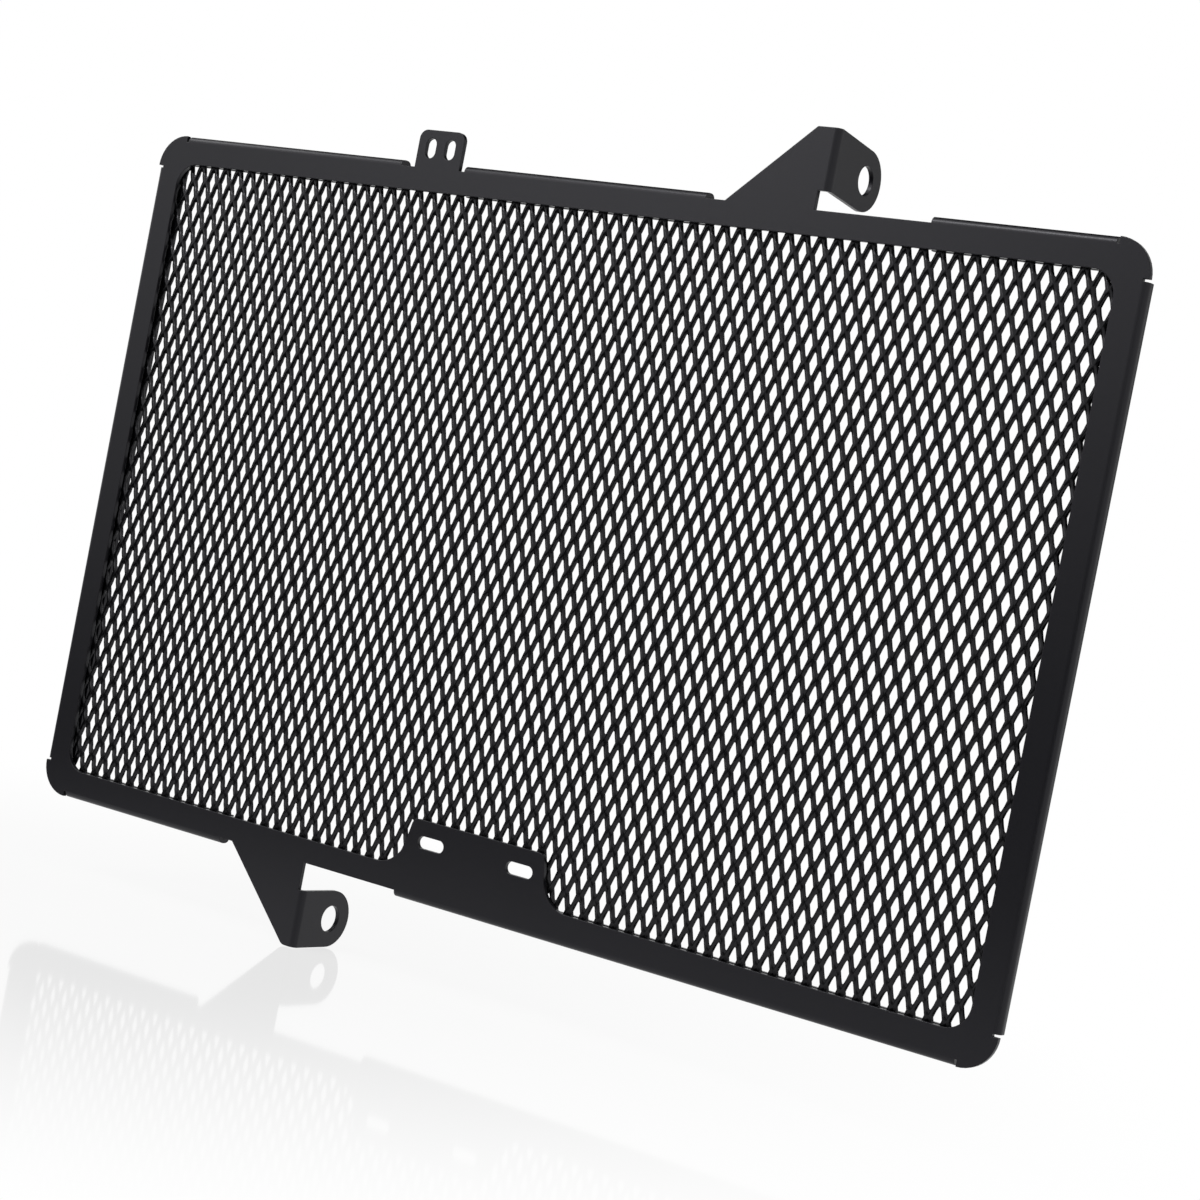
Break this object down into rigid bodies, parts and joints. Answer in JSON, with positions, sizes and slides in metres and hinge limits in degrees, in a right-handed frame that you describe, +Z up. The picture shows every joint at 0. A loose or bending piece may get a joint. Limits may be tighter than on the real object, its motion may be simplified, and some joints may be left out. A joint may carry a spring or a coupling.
{
  "type": "motorcycle radiator guard",
  "caption": "Flat black radiator guard: a folded sheet frame clamping expanded diamond mesh, with bolt ears above and below and a slotted tie tab.",
  "frame": {"origin": "centre of the upper ear's bolt hole, on the ear's outer face", "axes": "+X along the panel's long side and out of the upper ear's outer face, +Y from the front face back to the radiator, +Z up"},
  "size_m": [0.375, 0.0298, 0.284],
  "materials": {
    "frame_coat": "satin",
    "mesh_coat": "satin"
  },
  "bodies": {
    "root": {"frame": "frame_coat", "mesh": "mesh_coat"}
  },
  "joints": []
}
